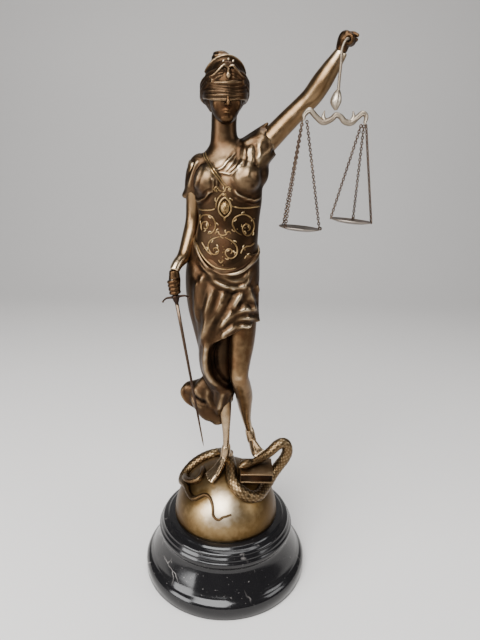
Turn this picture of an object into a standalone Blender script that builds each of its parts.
"""A table statue of justice: a blindfolded woman on a globe, with sword, scales, book and serpent.

Metres, +Z up. The origin is the middle of the stone base's underside, and the woman faces -Y.
The woman, the globe, the serpent and the book are one bronze casting. The figure is set out in
parts, of which there are 370 from the globe's crown to the top of her tiara, as a sculptor's canon.
"""

import math

import bmesh
import bpy
from mathutils import Matrix, Quaternion, Vector

# Driving sizes, in metres
BASE_HEIGHT = 0.060
BASE_RADIUS = 0.082
BASE_NECK_RADIUS = 0.064
BASE_COLLAR_RADIUS = 0.068
BASE_TOP_RADIUS = 0.0585
GLOBE_RADIUS = 0.052
FIGURE_HEIGHT = 0.370
SERPENT_RADIUS = 0.0054
BOOK_LENGTH = 0.0315
BOOK_DEPTH = 0.025
BOOK_THICKNESS = 0.0105
SWORD_BLADE_LENGTH = 0.1455
SWORD_BLADE_WIDTH = 0.0034
SWORD_GRIP_RADIUS = 0.0019
SWORD_GRIP_LENGTH = 0.0170
SWORD_GUARD_SPAN = 0.024
HOOK_WIRE_RADIUS = 0.0010
BEAM_THICKNESS = 0.0044
CHAIN_WIDTH = 0.0024
CHAIN_PITCH = 0.0033
PAN_RADIUS = 0.0170
PAN_DEPTH = 0.0030
PAN_WALL = 0.0008
FIT_GAP = 0.0003

# The figure's canon
PART = FIGURE_HEIGHT / 370
CROWN = BASE_HEIGHT + GLOBE_RADIUS

# How fine the casting's skin is
CASTING_VOXEL = 0.00105
CASTING_KEPT_SHARE = 0.021

BRONZE = ("bronze", (0.115, 0.058, 0.022), 0.36, 1.0)
PALE_BRONZE = ("pale_bronze", (0.30, 0.21, 0.125), 0.42, 1.0)
DARK_BRONZE = ("dark_bronze", (0.045, 0.022, 0.014), 0.40, 1.0)
GREY_METAL = ("grey_metal", (0.20, 0.175, 0.150), 0.50, 1.0)
BLACK_MARBLE = ("black_marble", (0.012, 0.011, 0.012), 0.10, 0.0)


def clear_scene():
    for thing in list(bpy.data.objects):
        bpy.data.objects.remove(thing, do_unlink=True)


def collection(name):
    made = bpy.data.collections.new(name)
    bpy.context.scene.collection.children.link(made)
    return made


def finish(name, color, roughness, metallic):
    """A plain Principled material with a finish's colour and values."""
    made = bpy.data.materials.get(name)
    if made is None:
        made = bpy.data.materials.new(name)
        made.use_nodes = True
        shader = made.node_tree.nodes["Principled BSDF"]
        shader.inputs["Base Color"].default_value = (*color, 1.0)
        shader.inputs["Roughness"].default_value = roughness
        shader.inputs["Metallic"].default_value = metallic
    return made


def spot(x, y, z):
    """A point of the figure, in parts right, back and up from the globe's crown."""
    return Vector((x, y, z)) * PART + Vector((0, 0, CROWN))


def through(keys, steps):
    """Rows of numbers on a smooth curve through the key rows, steps to each gap."""
    rows = []
    last = len(keys) - 1
    for i in range(last):
        before = keys[max(i - 1, 0)]
        start, end = keys[i], keys[i + 1]
        after = keys[min(i + 2, last)]
        for k in range(steps):
            t = k / steps
            rows.append([
                0.5 * (2 * b + (c - a) * t + (2 * a - 5 * b + 4 * c - d) * t * t
                       + (3 * b - a - 3 * c + d) * t ** 3)
                for a, b, c, d in zip(before, start, end, after)
            ])
    rows.append(list(keys[-1]))
    return rows


def add_object(name, mesh, finish_values, where):
    made = bpy.data.objects.new(name, mesh)
    made.data.materials.clear()
    made.data.materials.append(finish(*finish_values))
    where.objects.link(made)
    return made


def close_ends(shape, first, last):
    """Fills the two open rings of a loft with a fan to each ring's middle."""
    for ring, flip in ((first, True), (last, False)):
        middle = shape.verts.new(sum((v.co for v in ring), Vector()) / len(ring))
        for i, corner in enumerate(ring):
            after = ring[(i + 1) % len(ring)]
            corners = (after, corner, middle) if flip else (corner, after, middle)
            shape.faces.new(corners)


def loft(rings):
    """A closed skin over rings of points, each ring with the same number of points."""
    shape = bmesh.new()
    rows = [[shape.verts.new(point) for point in ring] for ring in rings]
    for low, high in zip(rows, rows[1:]):
        for i in range(len(low)):
            after = (i + 1) % len(low)
            shape.faces.new((low[i], low[after], high[after], high[i]))
    close_ends(shape, rows[0], rows[-1])
    bmesh.ops.recalc_face_normals(shape, faces=shape.faces)
    mesh = bpy.data.meshes.new("loft")
    shape.to_mesh(mesh)
    shape.free()
    return mesh


def frame_along(path, side_hint):
    """For each point of a path: its side and its depth direction, square to the path."""
    frames = []
    for i in range(len(path)):
        ahead = path[min(i + 1, len(path) - 1)] - path[max(i - 1, 0)]
        ahead.normalize()
        depth = ahead.cross(side_hint).normalized()
        frames.append((depth.cross(ahead).normalized(), depth))
    return frames


def limb(keys, sides=20, steps=5, side_hint=Vector((1, 0, 0))):
    """A rounded limb. Each key is x, y, z, half width and half depth, in parts."""
    rows = through(keys, steps)
    path = [spot(*row[:3]) for row in rows]
    rings = []
    for (side, depth), centre, row in zip(frame_along(path, side_hint), path, rows):
        wide, deep = row[3] * PART, row[4] * PART
        rings.append([
            centre + side * (wide * math.cos(a)) + depth * (deep * math.sin(a))
            for a in (2 * math.pi * k / sides for k in range(sides))
        ])
    return loft(rings)


def tube(points, radii, sides=10, steps=5):
    """A round tube through points in metres, its radius running through the radii."""
    keys = [(*point, radius) for point, radius in zip(points, radii)]
    rows = through(keys, steps)
    path = [Vector(row[:3]) for row in rows]
    reach = path[-1] - path[0]
    hint = Vector((0, 1, 0)) if abs(reach.normalized().y) < 0.8 else Vector((1, 0, 0))
    rings = []
    side = None
    for i, centre in enumerate(path):
        ahead = (path[min(i + 1, len(path) - 1)] - path[max(i - 1, 0)]).normalized()
        side = hint if side is None else side
        side = (side - ahead * side.dot(ahead)).normalized()
        up = ahead.cross(side)
        radius = rows[i][3]
        rings.append([
            centre + (side * math.cos(a) + up * math.sin(a)) * radius
            for a in (2 * math.pi * k / sides for k in range(sides))
        ])
    return loft(rings)


def ball(centre, size, turn=Quaternion()):
    """An ellipsoid at a point of the figure, its half sizes in parts."""
    shape = bmesh.new()
    bmesh.ops.create_uvsphere(shape, u_segments=20, v_segments=14, radius=1.0)
    sizes = Matrix.Diagonal((*(Vector(size) * PART), 1.0))
    shape.transform(Matrix.Translation(spot(*centre)) @ turn.to_matrix().to_4x4() @ sizes)
    mesh = bpy.data.meshes.new("ball")
    shape.to_mesh(mesh)
    shape.free()
    return mesh


def merged(meshes):
    """One mesh that holds all the given meshes as they are."""
    shape = bmesh.new()
    for mesh in meshes:
        shape.from_mesh(mesh)
        bpy.data.meshes.remove(mesh)
    mesh = bpy.data.meshes.new("merged")
    shape.to_mesh(mesh)
    shape.free()
    return mesh


def fold(points, width):
    """A raised fold or hem through points of the figure, thin at its ends."""
    count = len(points)
    radii = [width * PART * (0.45 + 0.55 * math.sin(math.pi * (i + 0.6) / (count + 0.2)))
             for i in range(count)]
    return tube([spot(*p) for p in points], radii, sides=8, steps=4)


# The clothed trunk from the hem up, each row x, y, z, half width and half depth in parts
TRUNK = (
    (-6, 2, 150, 22, 17), (-6, 2, 178, 30, 21), (-6, 1, 193, 31.8, 22.5), (-5, 1, 210, 31.2, 21.2),
    (-3, 1, 222, 28.5, 19), (-1.5, 1, 232, 26.8, 17.5), (-1, 0, 245, 27, 17), (-1, 0, 257, 28.5, 17.5),
    (-1.5, 0, 268, 29, 17.5), (-2, 1, 280, 28.6, 16.2), (-3, 2, 290, 27.6, 14.2), (-3.8, 2, 297, 24.5, 12),
    (-5, 2, 303, 15.5, 10.2), (-6, 2, 309, 10.2, 9.2),
)
OVERSKIRT = (
    (-3.5, 1, 214, 30.2, 20.6), (-5.5, 1, 204, 32.6, 22.8), (-6, 1, 190, 33.4, 24.2),
    (-5, 0, 170, 32.2, 24.4), (-2, -2, 152, 29.4, 23.4), (1, -3, 140, 27.8, 22.4),
)


def stands_out(forms, x, z, way):
    """How far the outermost of some forms stands out at a place across and up: way 1 back, -1 front."""
    furthest = 0.0
    for rows in forms:
        rows = sorted(rows, key=lambda row: row[2])
        for low, high in zip(rows, rows[1:]):
            if low[2] <= z <= high[2]:
                share = (z - low[2]) / (high[2] - low[2])
                middle, back, _, wide, deep = (a + (b - a) * share for a, b in zip(low, high))
                across = max(min((x - middle) / wide, 0.98), -0.98)
                furthest = max(furthest, way * back + deep * math.sqrt(1 - across * across))
    return way * furthest


LONG_DRAPE = (
    (-14, 0, 196, 20, 22), (-15, -4, 165, 16.5, 21), (-16.8, -5, 141, 11.4, 19.5), (-19.2, -5, 128, 8.0, 18.5),
    (-19.8, -5, 117, 7.4, 17.5), (-18, -4, 105, 7.8, 16), (-13.4, -3, 96, 9.6, 14.5), (-7.5, -2, 88, 11.5, 13),
    (-4.6, -1, 80, 11.2, 11.5), (-5.5, 0, 72, 9.5, 10), (-7.5, 0, 62, 7, 7.5), (-8.5, 1, 53, 3, 4),
)
BACK_DRAPE = (
    (-3, 10, 200, 26, 13), (-2, 11, 150, 23, 12.5), (-1, 12, 118, 19, 10.5), (-1, 12, 90, 14, 8),
)


def front_of(x, z):
    """How far forward the trunk or the skirt stands at a place across and up, in parts."""
    return stands_out((TRUNK, OVERSKIRT), x, z, -1)


def on_front(x, z, proud=0.0):
    """A point on the front of the clothes, or a little proud of it."""
    return spot(x, front_of(x, z) - proud, z)


def body():
    """Trunk, neck and the two legs, without cloth."""
    trunk = limb(TRUNK, sides=28)
    neck = limb([
        (-5.5, 3, 296, 13, 10.5), (-6, 2, 308, 11.4, 10), (-6.2, 1, 318, 10.6, 9.8),
        (-5.8, 1, 332, 10.8, 10.4),
    ])
    left_leg = limb([
        (9, 0, 186, 16, 17), (11.5, -4, 156, 14.5, 15.5), (12.2, -8, 134, 12.4, 13),
        (11, -12, 114, 10, 10.6), (10.8, -13.5, 101, 8.8, 9.4), (13.6, -8, 89, 8.6, 9),
        (16, -1, 76, 8.4, 9), (17.2, 4, 62, 6.8, 7.4), (19, 9, 46.5, 4.6, 5.2),
        (21.4, 12.5, 35, 3.9, 4.5), (22.8, 14, 28, 3.5, 4.0),
    ])
    right_leg = limb([
        (-15, 0, 186, 16, 17), (-12, 1, 150, 12.5, 13), (-8, 1, 122, 10, 10.5),
        (-6.5, -1, 106, 8.8, 9.2), (-4.6, 1, 90, 8.4, 8.8), (-3.4, 1, 74, 7.8, 8.2),
        (-1.8, -1, 56, 5.8, 6.2), (-0.8, -2, 38, 4.2, 4.8), (-0.4, -2, 20, 4.0, 4.6),
        (0.8, 0, 9, 4.2, 5.0),
    ])
    bosom = [
        ball((-18.5, -7.8, 274), (12.4, 11.4, 13.6)),
        ball((12.5, -8.6, 277.5), (13.2, 12.2, 14)),
        ball((-3, -6.5, 281), (17.5, 10.5, 14)),
    ]
    shoulders = [ball((-26, 1, 286.5), (9.6, 9.2, 10)), ball((20, 1, 295), (12.6, 10.5, 11.5)),
                 ball((20.5, 0, 282), (12.5, 11, 15))]
    return [trunk, neck, left_leg, right_leg, *bosom, *shoulders]


def arms():
    """The lowered sword arm and the raised arm that carries the scales."""
    sword_arm = limb([
        (-28.5, 1, 290, 7.5, 8), (-31, 4, 274, 7.8, 8.2), (-32, 7.5, 254, 7.2, 7.6),
        (-33, 8, 240, 6.8, 7.2), (-35.5, 4, 226, 7.0, 7.2), (-40, -4, 210, 6.0, 6.2),
        (-44.8, -11, 204, 5.0, 5.4), (-47.5, -15, 198, 4.7, 5.0),
    ])
    raised_arm = limb([
        (16, 1, 291, 10.5, 10), (26, 0, 301.5, 9.6, 9.4), (42, -1, 318.5, 8.8, 8.8),
        (57.5, -3, 334, 8.2, 8.2), (64.5, -5, 341, 8.4, 8.4), (71.5, -8, 351.5, 8.2, 8.4),
        (77.8, -10.5, 361.5, 6.7, 7.1), (82.3, -12.5, 368.5, 5.5, 5.8), (85, -14, 373, 4.9, 5.2),
    ], side_hint=Vector((0, 1, 0)))
    return [sword_arm, raised_arm]


def finger_ring(centre, axis, outward, reach, thickness, sweep):
    """A finger curled round an axis: a tube on an arc that starts at outward."""
    turns = [Quaternion(axis, sweep * k / 6) for k in range(7)]
    points = [centre + (turn @ outward) * reach for turn in turns]
    radii = [thickness * (1 - 0.05 * k) for k in range(7)]
    return tube(points, radii, sides=8, steps=2)


def fist(middle, axis, back, grip, wrist):
    """A hand closed round a grip along axis, its palm towards back, with the grip's radius left free."""
    finger = 2.2 * PART
    reach = grip + finger * 0.82
    parts = []
    palm = middle + back * (reach + 0.6 * PART)
    spread = 3.3 * PART
    for k in range(4):
        centre = middle + axis * spread * (1.5 - k)
        parts.append(finger_ring(centre, axis, back, reach, finger, math.radians(-285)))
    parts.append(tube(
        [wrist, (wrist + palm) / 2 + back * 0.4 * PART, palm + axis * 2 * PART, palm - axis * 4.5 * PART],
        [4.4 * PART, 5.2 * PART, 5.4 * PART, 4.2 * PART], sides=12))
    parts.append(tube([middle + axis * 5 * PART, middle - axis * 4.5 * PART], [3.6 * PART] * 2, sides=12))
    thumb_side = back.cross(axis).normalized()
    parts.append(tube(
        [palm + axis * 4.5 * PART, palm + thumb_side * reach * 1.15 + axis * 4.8 * PART,
         middle + thumb_side * reach * 1.25 - back * 1.2 * PART + axis * 2.6 * PART],
        [1.9 * PART, 1.9 * PART, 1.5 * PART], sides=8))
    return parts


SWORD_GUARD = spot(-45.7, -20, 175.5)
SWORD_AXIS = (spot(-21.2, -22, 31.2) - SWORD_GUARD).normalized()
SWORD_MIDDLE = SWORD_GUARD - SWORD_AXIS * (10 * PART)
HOOK_MIDDLE = spot(89.5, -16.5, 379.5)
HOOK_AXIS = Vector((-0.32, -0.94, -0.10)).normalized()


def hands():
    wrist = spot(-47.5, -15, 199)
    back = (spot(-46, -8, 186) - SWORD_MIDDLE)
    back = (back - SWORD_AXIS * back.dot(SWORD_AXIS)).normalized()
    sword_hand = fist(SWORD_MIDDLE, -SWORD_AXIS, back, SWORD_GRIP_RADIUS, wrist)
    high_wrist = spot(84, -14, 372)
    back = (spot(85.5, -14, 382) - HOOK_MIDDLE)
    back = (back - HOOK_AXIS * back.dot(HOOK_AXIS)).normalized()
    scale_hand = fist(HOOK_MIDDLE, HOOK_AXIS, back, HOOK_WIRE_RADIUS, high_wrist)
    for points, thick in ((((83.5, -12, 378), (86.5, -14, 383.6), (91.5, -16, 384.8), (96, -18, 382.4)), 1.9),
                          (((88, -9, 377), (92.5, -10, 381), (96.3, -13, 380.6)), 1.9)):
        scale_hand.append(tube([spot(*p) for p in points], [thick * PART] * (len(points) - 1) + [1.4 * PART], sides=8))
    return sword_hand + scale_hand


def foot(heel, ball_spot, toe, small_toe, ankle):
    """A bare foot from its heel to five toes that fan from the ball, in parts."""
    heel_at, ball_at, ankle_at = spot(*heel), spot(*ball_spot), spot(*ankle)
    big, small = spot(*toe), spot(*small_toe)
    ahead = (ball_at - heel_at).normalized()
    side = small - big
    side = (side - ahead * side.dot(ahead)).normalized()
    up = ahead.cross(side)
    up = up if up.z > 0 else -up
    rings = []
    for share, rise, wide, tall in ((-0.22, 0.4, 1.6, 1.8), (-0.14, 0.5, 3.2, 3.4), (0.05, 1.0, 4.2, 4.6),
                                    (0.3, 2.2, 4.0, 5.4), (0.55, 1.8, 4.4, 4.5), (0.8, 0.8, 5.2, 3.4),
                                    (1.02, 0.0, 6.4, 3.0), (1.24, -0.6, 5.8, 2.2)):
        centre = heel_at.lerp(ball_at, share) + up * (rise * PART)
        rings.append([centre + side * (wide * PART * math.cos(a)) + up * (tall * PART * max(math.sin(a), -0.8))
                      for a in (math.tau * k / 16 for k in range(16))])
    parts = [loft(rings)]
    arch = heel_at.lerp(ball_at, 0.3) + up * (2.5 * PART)
    parts.append(tube([ankle_at + (ankle_at - arch) * 0.5, ankle_at, arch], [3.4 * PART, 4.7 * PART, 4.6 * PART],
                      sides=14))
    parts.append(tube([ankle_at, heel_at.lerp(ankle_at, 0.4), heel_at], [4.0 * PART, 3.6 * PART, 3.8 * PART],
                      sides=12))
    for way in (-1, 1):
        parts.append(tube([ankle_at + side * (way * 2.6 * PART), ankle_at + side * (way * 3.8 * PART)],
                          [1.8 * PART] * 2, sides=8, steps=2))
    across = (small - big) * 0.62
    for k in range(5):
        share = k / 4
        tip = big.lerp(small, share) + (ahead + up) * ((0.0, 0.9, 1.1, 0.8, 0.2)[k] * PART)
        root = ball_at + across * (share - 0.48)
        thick = (2.4, 1.9, 1.8, 1.7, 1.6)[k] * PART
        instep = heel_at.lerp(ball_at, 0.5) + across * ((share - 0.48) * 0.4) + up * (2.4 * PART)
        knuckle = root.lerp(tip, 0.5) + up * (0.8 * PART)
        pad = tip - (tip - root).normalized() * thick
        parts.append(tube([instep, root + up * (0.6 * PART), knuckle, pad],
                          [thick * 1.5, thick * 1.45, thick * 1.02, thick * 0.95], sides=8, steps=3))
    return parts


def feet():
    right = foot((4, 5, 3.5), (-10.5, -16, -0.3), (-15.4, -27.3, -6.2), (-21, -15, -3.4), (0, -2, 14))
    left = foot((24, 18, 18), (30.6, -2.5, 15.6), (29.8, -11, 13.4), (38.5, -5.5, 16.8), (22.8, 13.2, 29.5))
    return right + left


HEAD = Vector((-5.5, -2, 343))


def head_spot(x, y, z):
    """Parts from the middle of the head, with the head turned a little to her left."""
    turn = math.radians(9)
    across = x * math.cos(turn) - y * math.sin(turn)
    back = x * math.sin(turn) + y * math.cos(turn)
    return (HEAD.x + across, HEAD.y + back, HEAD.z + z)


def head():
    """Skull, plain face, blindfold, waved hair with a knot, and the tiara."""
    face = limb([
        (*head_spot(0, -9.5, -24), 3.8, 3.6), (*head_spot(0, -8.5, -20.5), 7.6, 8.6),
        (*head_spot(0, -6.5, -14), 11.2, 12.4), (*head_spot(0, -5, -7), 13.2, 14.6),
        (*head_spot(0, -4, 0), 14.4, 16.2), (*head_spot(0, -3, 9), 14.4, 16.6),
        (*head_spot(0, -1, 18), 11.5, 14.0), (*head_spot(0, 0, 24), 5.0, 6.5),
    ], sides=24)
    skull = ball(head_spot(0, 3, 6), (16.6, 19, 19))
    nose = tube([spot(*head_spot(0, -18.8, -2)), spot(*head_spot(0, -20.6, -8)),
                 spot(*head_spot(0, -19.2, -11.0))],
                [1.1 * PART, 1.6 * PART, 1.9 * PART], sides=8)
    lips = ball(head_spot(0, -17.0, -15.7), (3.7, 1.9, 1.6))
    chin = ball(head_spot(0, -11.8, -20.0), (6.2, 4.8, 4.1))
    cheeks = [ball(head_spot(6.6 * s, -11.4, -9.5), (5.2, 4.6, 6.6)) for s in (-1, 1)]
    bands = []
    for k in range(4):
        height = -6.6 + 3.5 * k
        girth = [head_spot(16.8 * math.sin(a), -1.5 - 17.6 * math.cos(a), height + 2.6 * math.sin(a) ** 2)
                 for a in (math.radians(-180 + 20 * i) for i in range(19))]
        bands.append(tube([spot(*p) for p in girth], [2.0 * PART] * 19, sides=8, steps=2))
    return [face, skull, nose, lips, chin, *cheeks, *bands, *hair(), *tiara()]


LOCK_GIRTH = (1.4, 2.1, 2.6, 2.8, 2.6, 2.4, 1.8)


def lock_route(side, lower):
    """A lock of front hair, waved back from the parting over the temple and the ear."""
    return ((0.9 * side, -17.4, 13.0 - 0.7 * lower), (6.0 * side, -17.0, 12.4 - 0.6 * lower),
            (11.4 * side, -13.2, 11.2 - 0.9 * lower), (15.4 * side, -7.2, 8.0 - 0.9 * lower),
            (17.6 * side, -0.5, 5.6 - lower), (16.8 * side, 7.0, 1.4 - lower),
            (12.5 * side, 13.5, -1.0 - lower))


def hair():
    parts = [ball(head_spot(0, 3.5, 8), (17.2, 19.5, 14)), ball(head_spot(0, 3.5, -3), (17.0, 15, 15)),
             ball(head_spot(0, -18.8, 10.8), (2.3, 2.2, 3.6))]
    for side in (-1, 1):
        for k in range(3):
            parts.append(tube([spot(*head_spot(*p)) for p in lock_route(side, 3.2 * k)],
                              [r * PART for r in LOCK_GIRTH], sides=8, steps=3))
    knot = (-1.5, 14, 26)
    parts.append(ball(head_spot(*knot), (8.2, 8.2, 7.4)))
    parts.append(ball(head_spot(-1.5, 10, 20), (9.5, 9, 7)))
    for k in range(3):
        ring = [head_spot(knot[0] + 7.4 * math.cos(a), knot[1] + 7.4 * math.sin(a), knot[2] - 2.4 + 3.0 * k)
                for a in (math.tau * i / 12 + 0.4 * k for i in range(13))]
        parts.append(tube([spot(*p) for p in ring], [1.5 * PART] * 13, sides=8, steps=1))
    return parts


def tiara():
    """An upright crescent plate over the brow, with a raised rim and a row of beads."""
    low, high, count = [], [], 15
    for i in range(count):
        a = math.radians(-78 + 156 * i / (count - 1))
        low.append((16.4 * math.sin(a), 1.5 - 17.2 * math.cos(a), 9.5 + 4.5 * math.cos(a)))
        high.append((16.6 * math.sin(a), 2.0 - 14.8 * math.cos(a), 12.5 + 12.2 * math.cos(a) ** 1.3))
    rings = []
    for near, top in zip(low, high):
        inner = 1.5
        corners = [near, top, (top[0] * 0.93, top[1] + inner, top[2]), (near[0] * 0.9, near[1] + inner + 1, near[2])]
        rings.append([spot(*head_spot(*c)) for c in corners])
    rim = tube([spot(*head_spot(*p)) for p in high[::2]], [1.15 * PART] * 8, sides=8, steps=3)
    beads = [ball(head_spot(15.6 * math.sin(a), 0.6 - 15.4 * math.cos(a), 14.0 + 5.6 * math.cos(a)), (1.4, 1.3, 1.4))
             for a in (math.radians(-40 + 20 * i) for i in range(5))]
    return [loft(rings), rim, *beads]


def round_cloth(stations, pleats, depth, sides=72, twist=0.0, lower=None, start=0.0):
    """Cloth hung round the figure. Each station is x, y, z, half width and half depth, in parts.

    The pleats deepen from start to the hem. lower(angle) gives how far each side hangs below the last
    station, and its share grows down the cloth. Angle 0 is the front and a quarter turn her left side.
    """
    rows = through(stations, 5)
    rings = []
    count = len(rows) - 1
    for i, (x, y, z, wide, deep) in enumerate(rows):
        down = i / count
        ring = []
        for k in range(sides):
            a = math.tau * k / sides
            ripple = 1 + depth * max(down - start, 0) * math.cos(pleats * a + twist * down)
            drop = lower(a) * down ** 2 if lower else 0.0
            ring.append(spot(x + wide * ripple * math.sin(a), y - deep * ripple * math.cos(a), z - drop))
        rings.append(ring)
    hem = rings[-1]
    middle = sum(hem, Vector()) / sides
    hollow = Vector((0, 0, 9 * PART))
    rings.append([point.lerp(middle, 0.16) + hollow * 0.2 for point in hem])
    rings.append([point.lerp(middle, 0.34) + hollow for point in hem])
    return loft(rings)


def skirt():
    """The tunic's skirt, short over her left thigh and long over the right leg."""
    def hem(angle):
        return 30 * (1 - math.cos(angle - math.radians(70))) / 2 - 12
    over = round_cloth(OVERSKIRT, 9, 0.055, lower=hem, start=0.35)
    drape = round_cloth(LONG_DRAPE, 6, 0.06, start=0.35)
    back = round_cloth(BACK_DRAPE, 7, 0.08, start=0.2)
    under = limb([(-10, 2, 172, 18, 15), (-14, 2, 140, 13, 13), (-16, 1, 108, 9, 10)])
    lining = limb([(-6, -1, 150, 10, 10), (-5.5, -2, 130, 9.5, 9.5), (-5, -2, 115, 9, 9.4), (-3.5, -2, 100, 8, 8.8),
                   (-2, -2, 91, 6, 7.4)], sides=12, steps=3)
    return [over, drape, back, under, lining]


def blown_hem():
    """The end of the long drape, blown out to her right, with a rolled upper edge."""
    sheet = limb([
        (-4, 1, 96, 13, 9), (-11, 2, 82, 19, 8.5), (-15, 3, 70, 21, 8), (-14, 3, 58, 16, 7),
        (-10, 2, 49, 9, 5.5), (-9, 1, 43, 4, 3.5),
    ])
    roll = tube([spot(-8, 2, 92), spot(-18, 4, 86), spot(-30, 8, 80), spot(-40, 11, 77)],
                [8 * PART, 7.6 * PART, 7.2 * PART, 6.6 * PART], sides=14)
    lining = ball((-31, 7, 70), (11, 3.6, 10))
    curl = tube([spot(-39, 9, 82), spot(-44, 9, 74), spot(-40, 8, 65), spot(-30, 7, 58), spot(-20, 5, 50)],
                [3.2 * PART, 3.2 * PART, 3.0 * PART, 2.6 * PART, 2.0 * PART])
    return [sheet, roll, lining, curl]


def sleeves():
    """Draped cloth over each upper arm: folds that gather at the shoulder and open towards the hem."""
    left = limb([(12, 1, 290, 14, 11), (20, 0.5, 299, 12.8, 11.4), (26.5, 0, 306, 12, 11), (30.5, -0.5, 310, 11, 10.4)],
                side_hint=Vector((0, 1, 0)))
    gathers = []
    for start, middle, end in (
            ((11, 1, 303), (21, 0, 311), (31, -1, 321)), ((12, -6, 299), (22.5, -6, 305), (32.5, -6.5, 313)),
            ((13, -9, 290), (24.5, -9, 297), (34.5, -7.5, 305)), ((16, -8, 281), (27.5, -7.5, 289.5), (38.5, -3.5, 300)),
            ((18, 2, 281), (29, 1, 290), (40, 2, 299)), ((13, 7, 295), (24, 7, 303), (35, 6, 311))):
        gathers.append(tube([spot(*start), spot(*middle), spot(*end)], [5.8 * PART, 4.6 * PART, 1.9 * PART],
                            sides=8, steps=3))
    right = limb([(-21, 2, 291, 8.6, 9), (-27.5, 3, 284, 9.8, 9.8), (-31, 5, 271, 9.2, 9.8),
                  (-35.5, 7, 264, 6.6, 7.5), (-42.5, 8, 260, 2.0, 3.5)])
    return [left, *gathers, right]


def folds():
    """Raised folds and hems that show from a step away, each through a few points in parts."""
    runs = []
    for k in range(5):
        lean = k / 4
        runs.append(([(24 - 9 * lean, -8 - 2 * lean, 303 - 3 * lean),
                      (14 - 8 * lean, -13.5 - 1.5 * lean, 293 - 3 * lean),
                      (4 - 5 * lean, -17.5, 281 - 2 * lean), (-4, -19.2, 270 - 2 * lean)], 1.5))
    for k in range(2):
        runs.append(([(-24 + 2 * k, -8, 299), (-17 + 2 * k, -14, 287), (-10 + 1.5 * k, -18, 276),
                      (-4.5, -20, 265)], 1.2))
    for side, x in ((-1, -19), (1, 15)):
        runs.append(([(x - 12, -11, 260), (x - 6, -17.5, 257.5), (x + 1, -19, 259), (x + 8, -17, 258),
                      (x + 12, -13, 260)], 1.5))
    sash = ((-31, 207), (-24, 198), (-14, 188), (-3, 183), (8, 184), (16, 190), (22, 198))
    for k in range(3):
        runs.append(([(x, front_of(x, z - 4 * k) - 0.6, z - 4 * k) for x, z in sash], 2.2))
    swags = (((-30, 196), (-18, 168), (-8, 152)), ((-24, 193), (-14, 168), (-4, 153)),
             ((22, 190), (8, 168), (-5, 156)), ((26, 180), (14, 161), (-2, 150)),
             ((14, 178), (4, 165), (-6, 158)), ((-34, 188), (-29, 160), (-20, 140)))
    for swag in swags:
        runs.append(([(x, front_of(x, z) - 0.3, z) for x, z in through(swag, 2)], 2.0))
    for k in range(3):
        hem = ((27, 141 - 3.2 * k), (16, 148 - 3.6 * k), (4, 149 - 4.6 * k), (-5, 143 - 5 * k))
        runs.append(([(x, front_of(x, z) - 0.4, z) for x, z in hem], 1.8))
    for k in range(2):
        cord = ((8 + 2 * k, 180), (4 + 9 * k, 172), (-1 + 15 * k, 166))
        runs.append(([(x, front_of(x, z) - 1.0, z) for x, z in cord], 1.2))
    for k in range(3):
        runs.append(([(-32 + 2 * k, -6, 190), (-30 + 3 * k, -14, 160), (-25 + 3 * k, -20, 134),
                      (-22 + 3 * k, -20, 110), (-16 + 3 * k, -15, 92)], 1.6))
    behind = (TRUNK, OVERSKIRT, LONG_DRAPE, BACK_DRAPE)
    for k in range(7):
        x = -26 + 8 * k
        pleat = ((x, 206), (x * 0.92, 180), (x * 0.8, 150), (x * 0.65 - 1, 120), (x * 0.5 - 1, 97))
        runs.append(([(px, stands_out(behind, px, z, 1), z) for px, z in pleat], 1.9))
    runs.append(([(-3, -23, 140), (-10, -22.5, 130), (-12.5, -22, 116), (-11, -19, 104), (-5, -15, 94),
                  (3, -11, 84)], 1.6))
    return [fold(points, width) for points, width in runs]


def scroll(x, z, radius, start, turns, hand):
    """A raised spiral on the front of the cuirass."""
    points = []
    count = 14
    for i in range(count):
        share = i / (count - 1)
        a = start + hand * math.tau * turns * share
        r = radius * (1 - 0.8 * share)
        px, pz = x + r * math.cos(a), z + r * math.sin(a)
        points.append(on_front(px, pz, 0.2))
    return tube(points, [1.0 * PART] * count, sides=6, steps=2)


def raised_line(route, width, proud=0.2):
    """A raised line on the front of the clothes through places across and up."""
    return tube([on_front(x, z, proud) for x, z in route], [width * PART] * len(route), sides=6, steps=3)


def cuirass():
    """The fitted breastplate's ornament: scrolls, a mask under the bosom, bands and its apron's edge."""
    middle = -4
    parts = []
    for side in (-1, 1):
        parts.append(scroll(middle + 17 * side, 238, 7.5, math.radians(90), 1.4, -side))
        parts.append(scroll(middle + 7 * side, 216, 4.6, math.radians(100), 1.3, side))
        parts.append(scroll(middle + 22 * side, 217, 5.2, math.radians(60), 1.2, -side))
        parts.append(raised_line([(middle + s * side, z) for s, z in
                                  ((1.5, 230), (6, 229), (11, 225), (13, 218), (10, 212))], 1.0))
        parts.append(raised_line([(middle + s * side, z) for s, z in
                                  ((1, 264), (4, 267), (8, 265), (6, 261))], 1.2, 1.5))
    for inset, thick in ((0.0, 1.5), (3.2, 0.9)):
        edge = [(-30 + inset, 228), (-29.5 + inset, 214 + inset), (-20 + inset / 2, 202 + inset),
                (-6, 196 + inset), (8 - inset / 2, 198 + inset), (20 - inset, 207 + inset), (25 - inset, 220)]
        parts.append(raised_line(edge, thick, 0.6))
    parts.append(raised_line([(x, 254) for x in range(-28, 29, 4)], 1.0))
    parts.append(ball((middle, -18.6, 252), (5.2, 3.6, 7.6)))
    parts.append(ball((middle, -21.2, 251.5), (3.2, 2.6, 4.8)))
    parts.append(ball((middle, -18.4, 242.5), (2.2, 2.0, 3.4)))
    for k in range(3):
        parts.append(ball((middle, front_of(middle, 212) - 0.4, 209.5 - 4.0 * k), (1.4, 1.4, 1.6)))
    return parts


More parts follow.
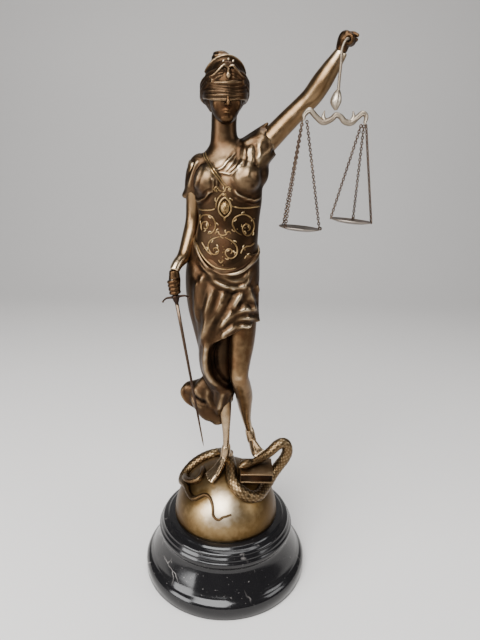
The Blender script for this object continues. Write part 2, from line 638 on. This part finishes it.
def on_globe(azimuth, elevation, lift):
    """A point above the globe, by compass angle from the front towards her left, and height angle."""
    a, e = math.radians(azimuth), math.radians(elevation)
    out = GLOBE_RADIUS + lift
    return Vector((out * math.cos(e) * math.sin(a), -out * math.cos(e) * math.cos(a),
                   BASE_HEIGHT + out * math.sin(e)))


def serpent():
    """One snake: its head on the book, a free loop beside it, then round the globe to a thin tail."""
    full = SERPENT_RADIUS
    beside_book = (
        (13.4, -20.5, 10.2, 0.36), (16.2, -19.4, 11.2, 0.74), (20.5, -17.6, 11.8, 0.86), (25.5, -14.8, 11.4, 0.62),
        (34, -9.5, 12.9, 0.74), (42.5, -4.5, 16.8, 0.86), (51, -1, 23.4, 0.94), (58, 1, 23.4, 0.96),
        (60.6, 1, 15.5, 0.98), (57.8, 1, 6.5, 1.0), (52.5, 1, -2.0, 1.0), (47, -2, -9.0, 1.0),
        (41.8, -9, -14.2, 1.0), (37, -17.5, -16.8, 1.0), (32, -26.5, -17.2, 1.02), (24.5, -32, -15.0, 1.04),
        (17, -33, -10.5, 1.04), (11, -30.5, -6.0, 1.04), (6, -23, -1.0, 1.02), (4.5, -10, 3.6, 1.0),
        (2, 5, 3.4, 1.0), (-1, 17, 1.4, 1.0),
    )
    path = [spot(x, y, z) for x, y, z, _ in beside_book]
    radii = [full * share for *_, share in beside_book]
    round_globe = (
        (-165, 58, 3.0, 1.02), (-150, 56, 3.2, 1.02), (-138, 52, 3.4, 1.0), (-127, 47, 3.4, 0.98),
        (-119, 42, 3.4, 0.94), (-111, 36.5, 3.2, 0.88), (-101, 33.5, 2.8, 0.8), (-90, 34.5, 2.4, 0.7),
        (-80, 38, 2.2, 0.6), (-70, 39.5, 1.9, 0.5), (-61, 38, 1.6, 0.42), (-51, 36.5, 1.4, 0.4),
        (-44, 37.5, 1.3, 0.38), (-39, 41, 1.2, 0.36), (-33, 45, 1.1, 0.33), (-27, 45.5, 1.0, 0.3),
        (-21, 43, 0.9, 0.27), (-16.5, 38, 0.8, 0.25), (-14.6, 33, 0.8, 0.24), (-13.5, 28.5, 0.7, 0.23),
        (-10, 25.6, 0.7, 0.22), (-6, 25, 0.6, 0.22), (-2, 27.6, 0.6, 0.21), (2.3, 28.6, 0.5, 0.20),
        (7.9, 30, 0.5, 0.18),
    )
    second_coil = (
        (-96, 38, 1.6, 0.64), (-84, 41.5, 2.5, 0.6), (-74, 45, 2.6, 0.56), (-65, 49.5, 2.6, 0.52),
        (-59.5, 53.5, 2.6, 0.5), (-60, 58, 2.5, 0.5), (-67, 62, 2.2, 0.48), (-80, 63.5, 1.4, 0.44),
        (-95, 62, -0.4, 0.38),
    )
    for azimuth, elevation, lift, share in round_globe:
        path.append(on_globe(azimuth, elevation, lift * PART))
        radii.append(full * share)
    coil = [on_globe(azimuth, elevation, lift * PART) for azimuth, elevation, lift, _ in second_coil]
    return [tube(path, radii, sides=10, steps=3), tube(coil, [full * share for *_, share in second_coil], steps=3)]


def book():
    """A closed book, tipped towards the front: two boards and a spine round a set-back block."""
    board = BOOK_THICKNESS * 0.17
    block_in = BOOK_THICKNESS * 0.11
    middle = spot(29.2, -15, 2.4)
    tip = Matrix.Translation(middle) @ Matrix.Rotation(math.radians(2), 4, "Z") @ Matrix.Rotation(math.radians(5), 4, "X")
    half = BOOK_THICKNESS / 2
    slabs = (
        ((BOOK_LENGTH, BOOK_DEPTH, board), half - board / 2, 0.0),
        ((BOOK_LENGTH, BOOK_DEPTH, board), -half + board / 2, 0.0),
        ((BOOK_LENGTH - 2 * block_in, BOOK_DEPTH - 2 * block_in, BOOK_THICKNESS - board), 0.0, 0.0),
    )
    made = []
    for size, up, along in slabs:
        shape = bmesh.new()
        bmesh.ops.create_cube(shape, size=1.0)
        bmesh.ops.scale(shape, vec=size, verts=shape.verts)
        bmesh.ops.translate(shape, vec=(along, 0, up), verts=shape.verts)
        shape.transform(tip)
        mesh = bpy.data.meshes.new("slab")
        shape.to_mesh(mesh)
        shape.free()
        made.append(mesh)
    return made


def globe():
    """The bronze ball, whose lower half the casting's flat underside cuts off."""
    shape = bmesh.new()
    bmesh.ops.create_uvsphere(shape, u_segments=72, v_segments=36, radius=GLOBE_RADIUS)
    bmesh.ops.translate(shape, vec=(0, 0, BASE_HEIGHT), verts=shape.verts)
    mesh = bpy.data.meshes.new("globe")
    shape.to_mesh(mesh)
    shape.free()
    return mesh


def cutter(name, mesh, cutters):
    made = add_object(name, mesh, BRONZE, cutters)
    made.hide_render = True
    made.display_type = "WIRE"
    return made


def cut(thing, tool):
    """Takes the tool out of the thing with an exact Boolean."""
    change = thing.modifiers.new("cut_" + tool.name, "BOOLEAN")
    change.operation = "DIFFERENCE"
    change.object = tool


def block_below(height):
    shape = bmesh.new()
    bmesh.ops.create_cube(shape, size=1.0)
    wide = 4 * GLOBE_RADIUS
    bmesh.ops.scale(shape, vec=(wide, wide, wide), verts=shape.verts)
    bmesh.ops.translate(shape, vec=(0, 0, height - wide / 2), verts=shape.verts)
    mesh = bpy.data.meshes.new("block")
    shape.to_mesh(mesh)
    shape.free()
    return mesh


def casting(parts_of_statue, cutters):
    """The one bronze casting, welded from its forms, thinned to facets and cut where pieces fit it."""
    forms = (body() + arms() + hands() + feet() + head() + skirt() + blown_hem() + sleeves() + folds()
             + cuirass() + serpent() + book() + [globe()])
    thing = add_object("justice_casting", merged(forms), BRONZE, parts_of_statue)
    weld = thing.modifiers.new("weld", "REMESH")
    weld.mode = "VOXEL"
    weld.voxel_size = CASTING_VOXEL
    ease = thing.modifiers.new("ease", "SMOOTH")
    ease.factor = 0.5
    ease.iterations = 2
    thin = thing.modifiers.new("thin", "DECIMATE")
    thin.ratio = CASTING_KEPT_SHARE
    cut(thing, cutter("under_casting", block_below(BASE_HEIGHT + FIT_GAP), cutters))
    clear = 0.5 * PART
    sword_room = [SWORD_GUARD + SWORD_AXIS * down for down in
                  (6 * PART, -3.2 * PART - clear, -3.3 * PART - clear, -SWORD_GRIP_LENGTH - FIT_GAP)]
    sword_radii = [3.6 * PART + clear] * 2 + [SWORD_GRIP_RADIUS + FIT_GAP] * 2
    cut(thing, cutter("sword_room", tube(sword_room, sword_radii, sides=12, steps=1), cutters))
    ends = [HOOK_MIDDLE + HOOK_AXIS * s for s in (-14 * PART, 14 * PART)]
    cut(thing, cutter("hook_hole", tube(ends, [HOOK_WIRE_RADIUS + FIT_GAP] * 2, steps=1), cutters))


def turned(name, profile, steps, finish_values, where):
    """A body of revolution from its half profile, which runs down its outer side."""
    shape = bmesh.new()
    corners = [shape.verts.new((x, 0, z)) for x, z in profile]
    for near, far in zip(corners, corners[1:]):
        shape.edges.new((near, far))
    mesh = bpy.data.meshes.new(name)
    shape.to_mesh(mesh)
    shape.free()
    thing = add_object(name, mesh, finish_values, where)
    spin = thing.modifiers.new("spin", "SCREW")
    spin.steps = steps
    spin.render_steps = steps
    spin.use_merge_vertices = True
    spin.merge_threshold = 0.00005
    return thing


def marble_base(where):
    """The stepped stone foot under the globe."""
    heights = (1.0, 1.0, 0.94, 0.86, 0.825, 0.75, 0.66, 0.52, 0.38, 0.29, 0.24, 0.185, 0.013, 0.0, 0.0)
    neck, collar, wide = BASE_NECK_RADIUS, BASE_COLLAR_RADIUS, BASE_RADIUS
    radii = (0.0, BASE_TOP_RADIUS, neck, 1.03 * neck, collar, collar, 1.023 * neck, 1.11 * neck, 1.172 * neck,
             1.187 * neck, 0.97 * wide, wide, wide, 0.99 * wide, 0.0)
    profile = [(radius, share * BASE_HEIGHT) for radius, share in zip(radii, heights)]
    turned("marble_base", profile, 48, BLACK_MARBLE, where)


def put(name, mesh, finish_values, where, joins=()):
    """An object with other closed meshes joined to it by exact Booleans."""
    thing = add_object(name, mesh, finish_values, where[0])
    for i, other in enumerate(joins):
        change = thing.modifiers.new("join_%d" % i, "BOOLEAN")
        change.operation = "UNION"
        change.object = cutter("%s_part_%d" % (name, i), other, where[1])
    return thing


def along_sword(across, down, out=0.0):
    """A point by its distances across the blade, down from the guard and towards the front."""
    across_way = Vector((1, 0, 0))
    across_way = (across_way - SWORD_AXIS * across_way.dot(SWORD_AXIS)).normalized()
    return SWORD_GUARD + SWORD_AXIS * down + across_way * across + across_way.cross(SWORD_AXIS) * out


def sword(where):
    """A thin blade of diamond section, a guard with drooping arms, and a grip held in the fist."""
    rings = []
    for share, width in ((-0.02, 1.0), (0.2, 0.85), (0.75, 0.62), (0.96, 0.4), (1.0, 0.08)):
        half, thick = SWORD_BLADE_WIDTH / 2 * width, SWORD_BLADE_WIDTH * 0.2 * width
        down = SWORD_BLADE_LENGTH * share
        rings.append([along_sword(half, down), along_sword(0, down, thick), along_sword(-half, down),
                      along_sword(0, down, -thick)])
    reach = SWORD_GUARD_SPAN / 2
    arms = [(-1.0, 1.6), (-0.7, -0.8), (-0.3, -1.0), (0.0, -0.6), (0.3, -1.0), (0.7, -0.8), (1.0, 1.6)]
    guard = tube([along_sword(reach * share, down * PART) for share, down in arms],
                 [r * PART for r in (0.6, 0.9, 1.2, 1.8, 1.2, 0.9, 0.6)], sides=6, steps=1)
    block = tube([along_sword(0, down * PART) for down in (-3.0, -1.5, 1.5, 5.5)],
                 [r * PART for r in (2.4, 3.2, 2.8, 1.4)], sides=8, steps=1)
    top = -SWORD_GRIP_LENGTH
    grip = tube([along_sword(0, 0.0), along_sword(0, top)], [SWORD_GRIP_RADIUS] * 2, sides=8, steps=1)
    put("sword", loft(rings), DARK_BRONZE, where, (block, guard, grip))


BEAM_LINE = (
    (57.0, 322.0), (57.2, 325.5), (61.2, 328.6), (66.6, 323.8), (72.2, 320.2), (78.6, 322.6), (81.8, 325.6),
    (85.6, 324.2), (88.8, 321.0), (94.0, 320.2), (98.3, 324.0), (102.6, 327.2), (105.4, 324.4), (104.2, 319.8),
)
SCALE_FRONT = -24.0


def scales_hanger(where):
    """The hook through the raised hand, its rod and the leaf that the beam hangs from."""
    ends = [HOOK_MIDDLE + HOOK_AXIS * (out * PART) for out in (-7.5, 0.0, 7.5)]
    route = ends + [spot(*p) for p in ((84.6, -25.6, 377.0), (82.4, -26.0, 371.0), (82.6, -25.4, 362.0),
                                       (82.3, -24.8, 352.0), (82.2, -24.2, 342.0))]
    radii = [HOOK_WIRE_RADIUS * k for k in (1, 1, 1, 1.0, 1.0, 1.1, 1.1, 1.2)]
    rod = tube(route, radii, sides=6, steps=2)
    leaf = tube([spot(82.2, SCALE_FRONT, 343.5), spot(81.6, SCALE_FRONT, 340.0), spot(80.8, SCALE_FRONT, 334.5),
                 spot(81.4, SCALE_FRONT, 329.0)],
                [k * PART for k in (1.4, 3.4, 4.3, 1.2)], sides=8, steps=2)
    put("scales_hanger", rod, PALE_BRONZE, where, (leaf,))


def scales_beam(where):
    """Two S scrolls end to end, with a leaf tip on each."""
    line = [spot(x, SCALE_FRONT, z) for x, z in BEAM_LINE]
    half = BEAM_THICKNESS / 2
    radii = [half * k for k in (0.55, 0.8, 1.0, 1.0, 1.1, 1.0, 0.95, 1.0, 1.1, 1.1, 1.0, 0.95, 0.8, 0.55)]
    tips = []
    for way, x in ((-1, 74.0), (1, 93.5)):
        tips.append(tube([spot(x, SCALE_FRONT, 320.5), spot(x + 2.0 * way, SCALE_FRONT, 324.2),
                          spot(x + 1.2 * way, SCALE_FRONT, 328.6)],
                         [k * PART for k in (1.9, 1.5, 0.4)], sides=6, steps=2))
    put("scales_beam", tube(line, radii, sides=8, steps=2), PALE_BRONZE, where, tips)


def chain(name, top, bottom, where):
    """A fused chain: a square rod, pressed flat one way and then the other from link to link."""
    reach = bottom - top
    ahead = reach.normalized()
    side = Vector((0, 1, 0))
    side = (side - ahead * side.dot(ahead)).normalized()
    up = ahead.cross(side)
    links = max(round(reach.length / CHAIN_PITCH), 2)
    rings = []
    for i in range(links + 1):
        wide, thin = CHAIN_WIDTH / 2, CHAIN_WIDTH * 0.2
        if i % 2:
            wide, thin = thin, wide
        if i in (0, links):
            wide = thin = CHAIN_WIDTH * 0.22
        centre = top + reach * (i / links)
        rings.append([centre + side * wide, centre + up * thin, centre - side * wide, centre - up * thin])
    add_object(name, loft(rings), DARK_BRONZE, where[0])


def pan(name, centre, lean, where):
    """A shallow dish, leaning a little to one side."""
    profile = [
        (0.0, PAN_WALL), (0.6 * PAN_RADIUS, 0.35 * PAN_DEPTH + PAN_WALL), (PAN_RADIUS - PAN_WALL, PAN_DEPTH),
        (PAN_RADIUS, PAN_DEPTH + 0.2 * PAN_WALL), (PAN_RADIUS, PAN_DEPTH - PAN_WALL), (0.62 * PAN_RADIUS, 0.2 * PAN_DEPTH),
        (0.0, 0.0),
    ]
    thing = turned(name, profile, 28, GREY_METAL, where[0])
    place = Matrix.Translation(centre) @ Matrix.Rotation(math.radians(lean), 4, "Y")
    thing.matrix_world = place
    return place


def hung_pan(side, end, middle, lean, angles, where):
    """A pan and the three chains that lead from one end of the beam to points round its rim."""
    place = pan("scale_pan_" + side, middle, lean, where)
    for k, angle in enumerate(angles):
        a = math.radians(angle)
        out = Vector((math.cos(a), math.sin(a), 0))
        rim = place @ (out * (PAN_RADIUS - 0.5 * PAN_WALL) + Vector((0, 0, PAN_DEPTH + 0.25 * PAN_WALL + FIT_GAP)))
        top = end + out * (2.1 * PART)
        chain("chain_%s_%d" % (side, k + 1), top, rim, where)


def scales(where):
    scales_hanger(where)
    scales_beam(where)
    left_end = spot(57.4, SCALE_FRONT, BEAM_LINE[0][1] - 2.0)
    right_end = spot(103.8, SCALE_FRONT, BEAM_LINE[-1][1] - 2.0)
    hung_pan("left", left_end, spot(57.6, SCALE_FRONT, 235.8), 4.3, (0, 139, 221), where)
    hung_pan("right", right_end, spot(99.6, SCALE_FRONT, 242.6), 4.8, (180, 72, -25), where)


def build():
    clear_scene()
    statue = collection("lady_justice_statue")
    cutters = collection("cutters")
    cutters.hide_render = True
    where = (statue, cutters)
    marble_base(statue)
    casting(statue, cutters)
    sword(where)
    scales(where)


build()
